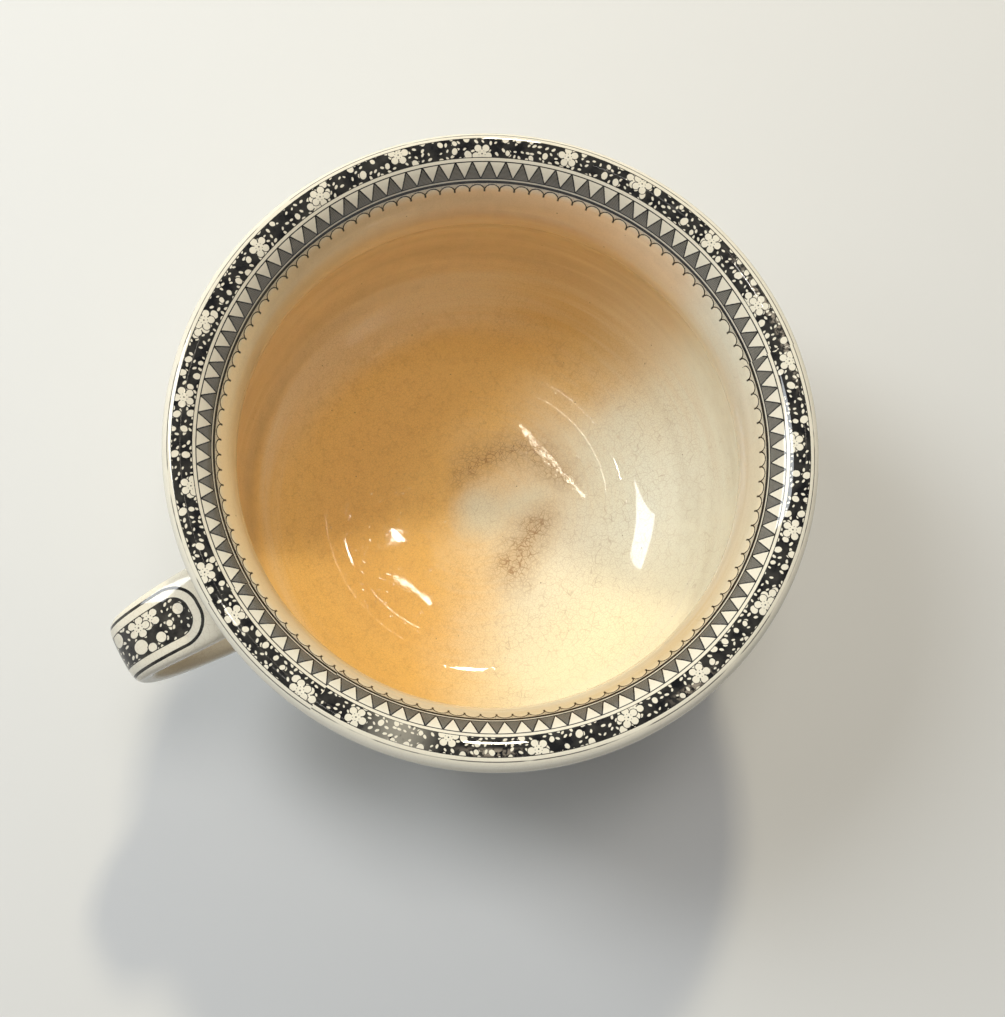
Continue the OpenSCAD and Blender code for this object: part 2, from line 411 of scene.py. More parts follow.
def seeds(x, y, size, share, width, length, tilt):
    """How far a point is outside scattered seeds, at most one to a cell. Each is an ellipse that leans
    either way by up to half the tilt, in radians, and is 0.75 to 1.25 times the given half width and half
    length. The cell's own random colour says if it has a seed, and sets the lean and the size."""
    at = x.vector(x, y)
    cell = at.cells(size, "F1", flat=True, scatter=SEED_SCATTER)
    ends = {0: at, 1: cell.beside("Position")}
    aside, up, _ = at.node("ShaderNodeVectorMath", {"operation": "SUBTRACT"}, ends).parts()
    chance, lean, grow = cell.beside("Color").parts()
    lean = (lean - 0.5) * tilt
    across = (aside * lean.cos() + up * lean.sin()) / width
    ahead = (up * lean.cos() - aside * lean.sin()) / length
    edge = ((across * across + ahead * ahead) ** 0.5 - grow * SEED_RANGE - SEED_LEAST) * width
    return edge + chance.past(share) * size


def cut_out(white, edge, rim, inner=0.0):
    """White areas with one more area cut out of the ink, and a dark rim kept round it."""
    return white * (1 - edge.under(rim)) + edge.under(0.0) * (1 - inner)


def printed_border(turn, out, place):
    """Density of the ink over the rim, from the share of the turn and the length along the profile, and
    where it has rubbed brown."""
    second, patch = turn.past(SECOND_JOINT), turn.past(PATCH_JOINT)
    grain = ink_grain(place)
    y = out - second * SECOND_OUT - patch * PATCH_OUT
    for waves, size, phase in WANDER:
        y = y - (turn * (2 * np.pi * waves) + np.radians(phase)).cos() * size

    # Scallops: half ellipses that bulge outwards, with a heavier point where two of them meet
    first, at_second, at_patch = SCALLOP_PHASE
    x = (turn * SCALLOPS + first + second * at_second + patch * at_patch) % 1 - 0.5
    height = SCALLOP_TOP - SCALLOP_CUSP
    half = np.pi * SCALLOP_R / SCALLOPS
    level = y - SCALLOP_CUSP
    rise = ((x * 2) ** 2.0 + (level / height) ** 2.0) ** 0.5
    upper = 1 - level.under(0.0, 0.15)
    ink = ((rise - 1) * (half + height) * 0.5 + grain).near(0, SCALLOP_LINE) * upper
    cusp = ((abs(x) - 0.5) * 2 * half).near(0, *CUSP_ACROSS) * level.near(0.0, *CUSP_UP)
    ink = ink.most(cusp)
    ground = (1 - rise.under(1.0, 0.1)) * y.near(*GROUND_AT) * level.past(GROUND_ABOVE)

    # Heavy line with a grey ground on both sides, thin lines, and the triangles with their hatching
    lines = y.near(0, HEAVY_LINE) + y.near(TRIANGLE_BASE, THIN_LINE) + y.near(TRIANGLE_TIP, THIN_LINE)
    first, at_second, at_patch = TRIANGLE_PHASE
    stretch = second * (at_second - (turn - SECOND_JOINT) * STRETCHED)
    x = abs((turn * TRIANGLES + first + stretch + patch * at_patch) % 1 - 0.5)
    tall = TRIANGLE_TIP - TRIANGLE_BASE
    pitch = 2 * np.pi * TRIANGLE_R / TRIANGLES
    slant = tall / np.hypot(tall, pitch / 2) * pitch
    side = ((TRIANGLE_TIP - y) / (2 * tall) - x) * slant + grain * 0.6
    row = y.near((TRIANGLE_BASE + TRIANGLE_TIP) / 2, tall / 2)
    triangle = (1 - side.under(0.0)) * row
    outline = side.near(0, TRIANGLE_LINE) * row
    hatch = (y % HATCH_PITCH - HATCH_PITCH / 2).under(*HATCH)
    fine = (x * pitch % HATCH_PITCH - HATCH_PITCH / 2).under(*FINE_HATCH)
    ink = ink.most(lines).most(outline).most(triangle * (TRIANGLE_TONE[0] + hatch * TRIANGLE_TONE[1]))
    ink = ink.most(ground * (GROUND_TONE[0] + fine * GROUND_TONE[1]))
    ink = ink.most(y.near(*LINE_GROUND_AT) * LINE_TONE)

    # Dark band: small seeds, then ovals, then the blossoms, each cut out with a dark rim round it
    degrees = turn * 360 - FIRST_AT - second * (SECOND_AT - FIRST_AT) - patch * (PATCH_AT - SECOND_AT)
    per_degree = np.radians(BAND_R)
    x = degrees * per_degree + grain
    up = y + grain * 0.5
    white = seeds(x, up, *SEEDS).under(0.0)
    white = cut_out(white, seeds(x + OVALS_ASIDE, up, *OVALS), OVAL_RIM)
    for at, height, twist in BLOSSOMS:
        beside = ((degrees - at + REPEAT / 2) % REPEAT - REPEAT / 2) * per_degree
        edge, stamens = blossom(beside, y - height, twist)
        white = cut_out(white, edge + grain * 0.5, BLOSSOM_RIM, stamens)
    middle, half = (BAND_FROM + BAND_TO) / 2, (BAND_TO - BAND_FROM) / 2
    band = (y + grain * 0.4).near(middle, half)
    rim = band - y.near(middle, half - BAND_LINE)
    ink = ink.most((band * (1 - white)).most(rim))
    broken = place.noise(*BROKEN).under(*BROKEN_UNDER)
    ink = ink.most(y.near(LIP_LINE, LIP_LINE_HALF) * (broken * LIP_TONE + LIP_TONE_LEAST))

    # Print pulled thin in one stretch, and worn through to brown in three more
    in_band = 1 - y.under(BAND_FROM - 0.2, 1.0)
    thin = turn.near(*THIN_AT) * in_band * place.noise(*THIN).near(*THIN_NEAR)
    rub = sum(turn.near(*worn) for worn in RUBBED_AT)
    rub = rub * y.near(*RUBBED_UP) * (1 - place.noise(*RUBBED).under(*RUBBED_OVER))
    patchy = place.noise(*INKING) * INK_RANGE + INK_MEAN
    return (ink * patchy).least(1.0) * (1 - thin * THINNED) * (1 - rub * RUBBED_OFF), rub


# Yellowed glaze, finely crazed: honey brown down the handle's side of the hollow and tan up the wall,
# partly the glaze's yellowing and partly painted shade and warm light, and two runs of brown stain in the
# cracks beside a pale patch at the middle of the floor. Outside it is ivory, aged in patches, and it is
# wiped off down to bare clay where the foot ring stands.
HONEY, TAN = (0.90, 0.565, 0.18, 1), (0.90, 0.655, 0.37, 1)
# The second colour on the next line is a brown that serves both as stain and as painted shade
CREAM, STAIN_AND_SHADE, CRACK = (0.87, 0.82, 0.66, 1), (0.40, 0.285, 0.165, 1), (0.27, 0.115, 0.03, 1)
BROWN, BUTTER, LIGHT_TAN = (0.46, 0.28, 0.11, 1), (0.88, 0.77, 0.48, 1), (0.95, 0.74, 0.45, 1)
PALE, BARE_CLAY, SPECK = (0.79, 0.73, 0.58, 1), (0.58, 0.49, 0.37, 1), (0.17, 0.10, 0.05, 1)
NECK_TAN, NECK_LIGHT = (0.86, 0.60, 0.36, 1), (0.95, 0.75, 0.46, 1)
WINDOW_LIT_PALE, PATCH_PALE = (0.83, 0.86, 0.73, 1), (0.83, 0.775, 0.58, 1)
AGED, RUST = (0.68, 0.57, 0.39, 1), (0.60, 0.26, 0.055, 1)
GLAZE_IOR = 1.5
# Noise: the size of its lumps and their detail
CLOUD, MOTTLE, FRECKLES = (38.0, 3.0), (6.0, 4.0), (1.7, 3.0)
PEEL, PITS, CLAY_GRAIN, CLAY_STAIN, SHEEN = (8.0, 1.0), (1.6, 1.0), (0.8, 3.0), (2.0, 4.0), (14.0, 3.0)
STREAK_WIDE, STREAK_LONG, RUN_WIDE, RUN_LONG = 2, 40, 11, 150
RING_WIDE, RING_LONG, STROKE_WIDE, STROKE_LONG = 16, 170, 3, 60
# Areas: the place of an edge and how soft it is, or a middle, half a width and how soft its edges are.
# _OUT is along the profile, and a _CLOUD says how far the clouds push an edge about.
HOLLOW_OUT, INNER_OUT, OUTER_OUT = (-1.5, 2.5), (19.0, 2.0), (24.0, 3.0)
HONEY_SIDE, HONEY_EDGE, HONEY_CLOUD, HONEY_STREAK = (0.22, -0.85), (-6.0, 44.0), 45, 14
WALL_Z, WALL_CLOUD = (42.0, 18.0), 14
FAR_WALL_Y, FAR_WALL_Z, FAR_WALL_CLOUD = (-72.0, 30.0), (19.5, 5.0), 5
NECK_TONE_Z, NECK_LIT_X, NECK_Z, NECK_Y = (108.0, 8.0), (0.0, 50.0), (102.0, 9.0), (35.0, 45.0)
BUTTER_Y = (58.0, 24.0)
WALL_SHADE_X, WALL_SHADE_Y, WALL_SHADE_Z = (-68.0, 22.0), (-8.0, 26.0), (50.0, 32.0, 18.0)
LIGHT_Y, LIGHT_Z = (-45.0, 30.0), (42.0, 4.0, 15.0)
WINDOW_X, WINDOW_Y = (-52.0, 24.0), (-12.0, 15.0)
TONED_PRINT_Y, RINGS_Z = (-35.0, 55.0), (26.0, 12.0)
PALE_PATCH_AT, PALE_PATCH_EDGE, PALE_PATCH_CLOUD = (-1, 2), (10.0, 8.0), 10
TONGUE_ACROSS, TONGUE_EDGE, TONGUE_CLOUD = (0.1, 0.8, -3), (3.5, 5.0), 8
TONGUE_X = (-20.0, 13.0, 6.0)
STAIN_AT, STAIN_R, STAIN_CLOUD = (-14, 8), (28, 6.0, 9.0), 16
STAIN_END, STAIN_END_EDGE, STAIN_END_CLOUD = (0.47, 0.88), (-10.0, 9.0), 10
STAIN_RUN, RUN_ASIDE, RUN_ALONG, RUN_CLOUD = (0.79, 0.61), (28, 8.0, 9.0), (8.0, 22.0, 12.0), 20
FOOT_DARK_Z, FOOT_DARK_CLOUD, BARE_SOFT, BARE_CLOUD = (9.0, 6.0), 12, 0.8, 3
# Coats: how much of what is under it each one covers
NECK_CREAM, NECK_TANNED, NECK_SHADE_COAT, BUTTERED, WALL_SHADE_COAT = 0.6, 0.8, 0.36, 0.6, 0.22
LIGHTENED, WINDOW_LIT_COAT, PRINT_STAIN_AND_SHADE, PALE_PATCHED, PALE_PATCH_UNSTAINED = 0.5, 0.6, 0.16, 0.85, 0.8
RING_DARK, STROKE_DARK, MOTTLE_DARK, DARKENED = 1.6, 0.3, 0.4, 0.7
RING_LIGHT, STROKE_LIGHT, FRECKLE_MOTTLE, FRECKLED = 2.2, 1.6, 0.7, 0.8
TONGUED, STAINED, FOOT_DARKENED = 0.8, 0.42, 0.25
AGED_CLOUD, AGED_RUNS, AGED_MOTTLE, AGED_MEAN, AGED_COAT = 1.5, 0.9, 0.5, 0.05, 0.55
# Cracks: the size of a cell and half a crack's width, then how dark they are in the hollow and outside it
FINE_NETWORK, WIDE_NETWORK = (2.6, 0.09), (4.5, 0.1)
NETWORK_MOTTLE, NETWORK_MEAN, NETWORK_MOST = 2.4, 0.75, 0.8
CRAZING, CRAZED_IN, CRAZED_OUT, CRAZED_MEAN, HONEY_HIDES = (4.2, 0.07), 0.55, 0.12, 0.45, 0.6
CRAZED_LOW, CRAZED_RISE, CRAZED_CLOUD, CRAZED_LEAST = 1.2, 60, 2, 0.15
HAIRLINES, HAIRS_IN, HAIRS_OUT = (1.25, 0.05), 0.2, 0.05
# Specks: the size of a cell, the share of cells that have one and the largest radius
SPECKS, SPECKS_IN, SPECKS_OUT = (4.5, 0.35, 0.35), 0.6, 0.12
CRACK_DEEP, PIT_DEEP, CLAY_HIGH = 0.5, 0.5, 3
GLAZE_ROUGH, ROUGH_RANGE, CLAY_ROUGH = 0.01, 0.02, 0.6
CRACK_BEND_SIZE, CRACK_BEND, SPECK_SOFT = 2, 0.9, 0.1


def crackle(place, size, half):
    """A mask of hairline cracks: the edges of scattered cells, bent by noise."""
    bend_size = CRACK_BEND_SIZE * size
    bend = place.node("ShaderNodeTexNoise", {}, {"Vector": place, "Scale": 1 / bend_size}, out="Color")
    amount = {"Vector": bend, "Scale": CRACK_BEND * size}
    bend = bend.node("ShaderNodeVectorMath", {"operation": "SCALE"}, amount)
    bent = place.node("ShaderNodeVectorMath", {"operation": "ADD"}, {0: place, 1: bend})
    return (bent.cells(size, "DISTANCE_TO_EDGE") * size).under(half, half)


def specks(place, size, share, radius):
    """A mask of small round specks: the seeds of a share of scattered cells."""
    seed = place.cells(size, "F1")
    chance, width, _ = seed.beside("Color").parts()
    return (seed * size - width * radius).under(0.0, SPECK_SOFT) * (1 - chance.past(share))


def from_point(x, y, at):
    """Distance in plan from a point."""
    return ((x - at[0]) ** 2.0 + (y - at[1]) ** 2.0) ** 0.5


shader, place, surface = new_finish("printed_glaze", bowl)
turn, out, _ = surface.parts()
x, y, z = place.parts()
hollow = out.under(*HOLLOW_OUT)
inner = out.under(*INNER_OUT)
outer = 1 - out.under(*OUTER_OUT)
cloud = place.noise(*CLOUD) - 0.5
mottle = place.noise(*MOTTLE) - 0.5
drawn_out = x.vector(from_point(x, y, (0, 0)) / STREAK_WIDE, x / STREAK_LONG, y / STREAK_LONG)
streak = drawn_out.noise(1.0, 3.0) - 0.5

# Honey on the floor and tan up the wall on one side of the hollow, and cream on the other: partly the
# glaze's yellowing and partly painted light. The honey side is painted shade from the window lamp, warmed
# as if by the warm lamp, and the tan up the wall and on the far side is painted shade out of that warm
# light
side = x * HONEY_SIDE[0] + y * HONEY_SIDE[1] + x.most(0.0) + cloud * HONEY_CLOUD + streak * HONEY_STREAK
honey = 1 - side.under(*HONEY_EDGE)
upper_wall = 1 - (z + cloud * WALL_CLOUD).under(*WALL_Z)
far_wall = y.under(*FAR_WALL_Y) * (1 - (z + cloud * FAR_WALL_CLOUD).under(*FAR_WALL_Z))
neck = (1 - z.under(*NECK_Z)) * (1 - y.under(*NECK_Y))
# Neck tones, partly painted light and shade: tan on the side away from the handle and lighter on the
# handle's side
neck_lit_and_shaded = x.under(*NECK_LIT_X).paint(NECK_LIGHT, NECK_TAN)
yellowing_and_shade = upper_wall.most(far_wall).paint(HONEY, TAN)
yellowing_and_shade = (1 - z.under(*NECK_TONE_Z)).paint(yellowing_and_shade, neck_lit_and_shaded)
yellowing_and_shade = (neck * NECK_CREAM).paint(yellowing_and_shade, CREAM)
pale = hollow.paint(IVORY, (neck * NECK_TANNED).paint(CREAM, TAN))
pale = ((1 - y.under(*BUTTER_Y)) * hollow * BUTTERED).paint(pale, BUTTER)
colour = (honey * hollow).paint(pale, yellowing_and_shade)

# Painted shade on the far wall and on the near neck, a lighter band up the wall, a paler cooler glaze
# partly painted as window light on the side towards the window, and the print on the far side toned
# Painted shade on a stretch of the wall that the window lamp lights at a graze
painted_wall_shade = x.under(*WALL_SHADE_X) * y.under(*WALL_SHADE_Y) * z.near(*WALL_SHADE_Z)
colour = (painted_wall_shade * hollow * WALL_SHADE_COAT).paint(colour, STAIN_AND_SHADE)
colour = (z.near(*LIGHT_Z) * y.under(*LIGHT_Y) * hollow * LIGHTENED).paint(colour, LIGHT_TAN)
# A paler, cooler glaze on the side towards the window, partly painted window light
window_light = x.under(*WINDOW_X) * (1 - y.under(*WINDOW_Y)) * hollow
colour = (window_light * WINDOW_LIT_COAT).paint(colour, WINDOW_LIT_PALE)
# Painted shade on the near neck under the rim
colour = (neck * hollow * NECK_SHADE_COAT).paint(colour, STAIN_AND_SHADE)
# The print on the far side toned darker, partly stain and partly painted shade
colour = (y.under(*TONED_PRINT_Y) * (1 - hollow) * inner * PRINT_STAIN_AND_SHADE).paint(colour, STAIN_AND_SHADE)

# Soft rings up the wall, which the stain took from the wheel marks, and rusty freckles on the floor
up_wall = 1 - z.under(*RINGS_Z)
rings = (x.vector(out / RING_WIDE, x / RING_LONG, y / RING_LONG).noise(1.0, 1.0) - 0.5) * up_wall
strokes = (x.vector(out / STROKE_WIDE, x / STROKE_LONG, y / STROKE_LONG).noise(1.0) - 0.5) * up_wall
dark_ring = (rings * RING_DARK + strokes * STROKE_DARK + mottle * MOTTLE_DARK).most(0.0)
colour = (dark_ring * hollow * DARKENED).paint(colour, STAIN_AND_SHADE)
light_ring = (rings * -RING_LIGHT - strokes * STROKE_LIGHT).most(0.0)
colour = (light_ring * hollow).least(1.0).paint(colour, honey.paint(PALE, LIGHT_TAN))
freckle = (mottle * FRECKLE_MOTTLE + place.noise(*FRECKLES) - 0.5).most(0.0)
colour = (freckle * honey * (1 - up_wall) * hollow * FRECKLED).paint(colour, RUST)

# Pale patch with a tongue to one side, and a run of stain above and below it
tongue = y * TONGUE_ACROSS[1] + x * TONGUE_ACROSS[0] + TONGUE_ACROSS[2] + cloud * TONGUE_CLOUD
tongue = abs(tongue).under(*TONGUE_EDGE) * x.near(*TONGUE_X)
pale_patch = (from_point(x, y, PALE_PATCH_AT) + cloud * PALE_PATCH_CLOUD).under(*PALE_PATCH_EDGE)
pale_patch = pale_patch.most(tongue * TONGUED) * hollow
colour = (pale_patch * PALE_PATCHED).paint(colour, PATCH_PALE)
above = (from_point(x, y, STAIN_AT) + cloud * STAIN_CLOUD).near(*STAIN_R)
above = above * (x * STAIN_END[0] + y * STAIN_END[1] + cloud * STAIN_END_CLOUD).under(*STAIN_END_EDGE)
below = (y * STAIN_RUN[0] - x * STAIN_RUN[1] + cloud * STAIN_CLOUD).near(*RUN_ASIDE)
below = below * (x * STAIN_RUN[0] + y * STAIN_RUN[1] + cloud * RUN_CLOUD).near(*RUN_ALONG)
stained = above.most(below) * (1 - pale_patch * PALE_PATCH_UNSTAINED) * hollow
colour = (stained * STAINED).paint(colour, BROWN)

# Cracks, darkest in the stain and on the floor, and specks
network = crackle(place, *FINE_NETWORK).most(crackle(place, *WIDE_NETWORK))
network = network * stained * (mottle * NETWORK_MOTTLE + NETWORK_MEAN).most(0.0).least(NETWORK_MOST)
patchy = (CRAZED_LOW - z / CRAZED_RISE + cloud * CRAZED_CLOUD).most(CRAZED_LEAST).least(1.0)
crazed = crackle(place, *CRAZING)
crazing_dark = hollow * patchy * (1 - honey * HONEY_HIDES) * CRAZED_IN + CRAZED_OUT
crazing = crazed * (mottle + CRAZED_MEAN).most(0.0) * crazing_dark
hairlines = crackle(place, *HAIRLINES) * (hollow * patchy * HAIRS_IN + HAIRS_OUT)
dots = specks(place, *SPECKS) * (hollow * SPECKS_IN + SPECKS_OUT)
colour = network.most(crazing).most(hairlines).paint(colour, CRACK)
colour = dots.paint(colour, SPECK)

ink, rub = printed_border(turn, out, place)
colour = ink.paint(colour, rub.paint(INK, RUBBED_INK))

# The outside has aged unevenly, with faint runs where the glaze ran down after the dip, is darker towards
# the foot, and has bare clay at the foot
runs = x.vector(x / RUN_WIDE, y / RUN_WIDE, z / RUN_LONG).noise(1.0) - 0.5
aged = (cloud * AGED_CLOUD + runs * AGED_RUNS + mottle * AGED_MOTTLE + AGED_MEAN).most(0.0)
colour = (aged * outer * AGED_COAT).paint(colour, AGED)
foot_darkening = (z + cloud * FOOT_DARK_CLOUD).under(*FOOT_DARK_Z)
colour = (foot_darkening * (1 - hollow) * FOOT_DARKENED).paint(colour, STAIN_AND_SHADE)
bare = (out + cloud * BARE_CLOUD).near((bare_from + bare_to) / 2, (bare_to - bare_from) / 2, BARE_SOFT)
colour = bare.paint(colour, place.noise(*CLAY_STAIN).paint(BARE_CLAY, STAIN_AND_SHADE))

peel = place.noise(*PEEL) - crazed * hollow * CRACK_DEEP
peel = peel + stained * place.noise(*PITS) * PIT_DEEP + bare * place.noise(*CLAY_GRAIN) * CLAY_HIGH
bump = {"Height": peel, "Strength": 0.03, "Distance": 0.0004}
finish(
    shader,
    Base_Color=colour,
    Roughness=place.noise(*SHEEN) * ROUGH_RANGE + GLAZE_ROUGH + bare * CLAY_ROUGH,
    IOR=GLAZE_IOR,
    Normal=peel.node("ShaderNodeBump", {}, bump),
)
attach(bowl, "root")
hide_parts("bowl")


# Handle: a strap of the same clay, pulled and bent by hand, stuck to the neck under the rim and to the
# belly. Its outer face has a printed panel with round ends, and its ends follow the curve of the wall.
STRAP_W, STRAP_BEND_W, STRAP_LOW_W, STRAP_T = 31, 25, 27, 9
STRAP_DROP, REACH, BEND_DROP, ROOT_GAP, ROOT_SLOPE = 18, 37.5, 17, 60, 26
ROOT_DEPTH, UPPER_PULL, LOWER_PULL, BEND_PULL_UP, BEND_PULL_DOWN = 3, 0.78, 0.8, 0.8, 1
SQUARENESS, CROWN = 4, 0.5
STRANDS, STRAP_ROWS, PATH_STEPS = 64, 132, 400
SINK, ROOT_ZONE, HALVINGS = 0.35, 25, 40

wall = outside[::-1]


def wall_r(height):
    """Radius of the outside of the wall at a height."""
    return np.interp(height, wall[:, 1], wall[:, 0])


upper_z = POT_H - STRAP_DROP - STRAP_T / 2
lower_z = upper_z - ROOT_GAP
upper_root = np.array([wall_r(upper_z) - ROOT_DEPTH, upper_z])
lower_root = np.array([wall_r(lower_z) - ROOT_DEPTH, lower_z])
bend = np.array([RIM_R + REACH - STRAP_T / 2, upper_z - BEND_DROP])
upper_pull = UPPER_PULL * (bend[0] - upper_root[0]) * np.array([1, 0])
lower_pull = LOWER_PULL * (bend[0] - lower_root[0]) * along(ROOT_SLOPE)
upper_curve = [upper_root, upper_root + upper_pull, bend + [0, BEND_PULL_UP * BEND_DROP], bend]
lower_curve = [bend, bend - [0, BEND_PULL_DOWN * BEND_DROP], lower_root + lower_pull, lower_root]


def bezier(curve, t):
    """Points of a cubic curve: its four control points weighted by the powers of t and 1 - t."""
    weights = [(1 - t) ** 3, 3 * t * (1 - t) ** 2, 3 * t * t * (1 - t), t**3]
    return sum(w[:, None] * c for w, c in zip(weights, curve))


t = np.linspace(0, 1, PATH_STEPS)
path = np.concatenate([bezier(upper_curve, t)[:-1], bezier(lower_curve, t)])
path_run = np.r_[0, np.cumsum(np.linalg.norm(np.diff(path, axis=0), axis=1))]
path_dir = np.gradient(path, path_run, axis=0)
path_dir /= np.linalg.norm(path_dir, axis=1, keepdims=True)
ease = t * t * (3 - 2 * t)
upper_w = STRAP_W + (STRAP_BEND_W - STRAP_W) * ease
path_w = np.r_[upper_w[:-1], STRAP_BEND_W + (STRAP_LOW_W - STRAP_BEND_W) * ease]
strand = np.linspace(0, 360, STRANDS, endpoint=False)
section = np.sign(along(strand)) * np.abs(along(strand)) ** (2 / SQUARENESS)
section[:, 1] += CROWN * 2 / STRAP_T * (1 - section[:, 0] ** 2) * (section[:, 1] > 0)


def strap(length, grow=0.0):
    """Points of the strap's strands at these lengths along its path: the section, wide as the path says
    and grown by a rim all round, set square to the path."""
    x, z, dx, dz, w = (np.interp(length, path_run, a) for a in (*path.T, *path_dir.T, path_w))
    across = (w / 2 + grow) * section[:, 0]
    through = (STRAP_T / 2 + grow) * section[:, 1]
    return np.stack([x - through * dz, across, z + through * dx], -1)


def wall_meets(grow, inner, outer, sink):
    """Length along the path at which each strand reaches the wall, found by halving the stretch from
    inner, which is inside the wall, to outer, which is clear of it."""
    inner, outer = np.full(STRANDS, float(inner)), np.full(STRANDS, float(outer))
    for _ in range(HALVINGS):
        middle = (inner + outer) / 2
        x, y, z = np.moveaxis(strap(middle, grow), -1, 0)
        clear = np.hypot(x, y) > wall_r(z) - sink
        inner, outer = np.where(clear, inner, middle), np.where(clear, middle, outer)
    return middle


path_end = path_run[-1]
starts = wall_meets(0, 0, ROOT_ZONE, SINK)
ends = wall_meets(0, path_end, path_end - ROOT_ZONE, SINK)
share = np.linspace(0, 1, STRAP_ROWS)[:, None]
lengths = starts + (ends - starts) * share
through = (STRAP_T / 2 * section[:, 1])[np.r_[:STRANDS, 0]]
handle = skin("strap_handle", strap(lengths), through, lengths[:, np.r_[:STRANDS, 0]])

# The panel is a long round-ended shape on the outer face, with an outline and a dark field set in from it
PANEL_FROM, PANEL_STOPS, PANEL_END_R = 24.5, 16, 10.5
PANEL_HALF, PANEL_TAPER, TAPER_RUN, FIELD_INSET = 11.9, 0.048, 45.0, 3.65
PANEL_LINE, FIELD_LINE = 0.58, 0.2
OUTER_FACE, UNDER_FACE = (2.0, 0.4), (-2.0, 2.0)
PANEL_SEEDS, ROUND_RIM, PETAL_RIM, ROUND_STRETCH = (2.3, 0.75, 0.4, 0.7, 5.0), 0.35, 0.3, 0.9
# Places along the strap and across it, with the blossoms' turn and the ovals' radius
PANEL_BLOSSOMS = [(42.4, -4.5, 0.6), (46.8, -3.5, 0.1), (72.0, 3.0, 0.5), (93.0, -3.0, 0.8)]
PANEL_OVALS = [
    (56.0, -4.3, 2.5), (41.3, 3.9, 1.75), (31.6, -2.4, 1.9), (49.0, 3.2, 2.4),
    (45.6, 5.6, 1.5), (62.5, 4.9, 2.0), (65.5, -4.0, 1.7), (36.5, 0.9, 1.1),
    (82.0, -3.5, 1.9), (84.5, 3.4, 1.6), (101.0, 3.0, 1.7), (67.0, 0.4, 1.1),
]
STRAP_CLOUD, STRAP_PEEL, STRAP_SHEEN = (30.0, 3.0), (6.0, 2.0), (12.0, 3.0)
STRAP_INK, STRAP_INK_RANGE = 0.88, 0.16
UNDER_SHADED, STRAP_CLOUD_TONE, STRAP_TINT = 0.45, 0.3, 0.06
STRAP_CRACKS, STRAP_CRACKED = (2.2, 0.06), 0.16
STRAP_SPECKS, STRAP_SPECKED = (5.0, 0.3, 0.35), 0.4
STRAP_ROUGH, STRAP_ROUGH_RANGE = 0.02, 0.03
SIDE_SHADE = (0.55, 0.42, 0.27, 1)

shader, place, surface = new_finish("printed_strap_glaze", handle)
through, length, _ = surface.parts()
_, y, _ = place.parts()
cloud = place.noise(*STRAP_CLOUD) - 0.5
grain = ink_grain(place)
outer_face = 1 - through.under(*OUTER_FACE)
to_end = (length - PANEL_FROM).least(path_end - PANEL_STOPS - length)
taper = (length - PANEL_FROM).least(TAPER_RUN) * PANEL_TAPER
aside = abs(y) - (PANEL_HALF - PANEL_END_R) + taper
beyond = PANEL_END_R - to_end
rounded = (aside.most(0.0) ** 2.0 + beyond.most(0.0) ** 2.0) ** 0.5
panel = rounded + aside.most(beyond).least(0.0) - PANEL_END_R + grain * 0.4
field = (panel + FIELD_INSET).under(0.0)
white = seeds(y + grain, length, *PANEL_SEEDS).under(0.0)
for at, height, radius in PANEL_OVALS:
    from_middle = ((length - at) ** 2.0 + ((y - height) * ROUND_STRETCH) ** 2.0) ** 0.5
    white = cut_out(white, from_middle - radius + grain * 0.6, ROUND_RIM)
for at, height, twist in PANEL_BLOSSOMS:
    edge, stamens = blossom(length - at, y - height, twist)
    white = cut_out(white, edge + grain * 0.5, PETAL_RIM, stamens)
edge_line = (panel + FIELD_INSET).near(0, FIELD_LINE)
ink = panel.near(0, PANEL_LINE).most(field * (1 - white)).most(edge_line) * outer_face
ink = (ink * (place.noise(*INKING) * STRAP_INK_RANGE + STRAP_INK)).least(1.0)
# Painted shade on the strap's under face, with cloudy ageing and a slight tint all over in the same
# darker colour
under_face = through.under(*UNDER_FACE)
shade = (under_face * UNDER_SHADED + cloud * STRAP_CLOUD_TONE + STRAP_TINT).most(0.0)
colour = shade.paint(IVORY, SIDE_SHADE)
colour = (crackle(place, *STRAP_CRACKS) * STRAP_CRACKED).paint(colour, CRACK)
colour = (specks(place, *STRAP_SPECKS) * STRAP_SPECKED).paint(colour, SPECK)
colour = ink.paint(colour, INK)
peel = place.noise(*STRAP_PEEL)
bump = {"Height": peel, "Strength": 0.1, "Distance": 0.0004}
finish(
    shader,
    Base_Color=colour,
    Roughness=place.noise(*STRAP_SHEEN) * STRAP_ROUGH_RANGE + STRAP_ROUGH,
    IOR=GLAZE_IOR,
    Normal=peel.node("ShaderNodeBump", {}, bump),
)
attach(handle, "root")
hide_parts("handle")


# Slip joints: liquid clay brushed on both roots to stick the strap on, squeezed out in a small hollow
# fillet all round and smoothed with a wet finger. The glaze over it has pooled a little darker.
SLIP_REACH, SLIP_DEPTH, SLIP_BITE, SLIP_BEHIND = 2.4, 0.3, 0.05, 1.0
SLIP_PULL, SLIP_ROWS = 0.8, 9
SLIP_CLOUD, SLIP_PEEL, SLIP_CRACKED = (9.0, 3.0), (4.0, 2.0), 0.2
SLIP_ROUGH, SLIP_ROUGH_RANGE = 0.07, 0.1
POOLED = (0.66, 0.56, 0.38, 1)


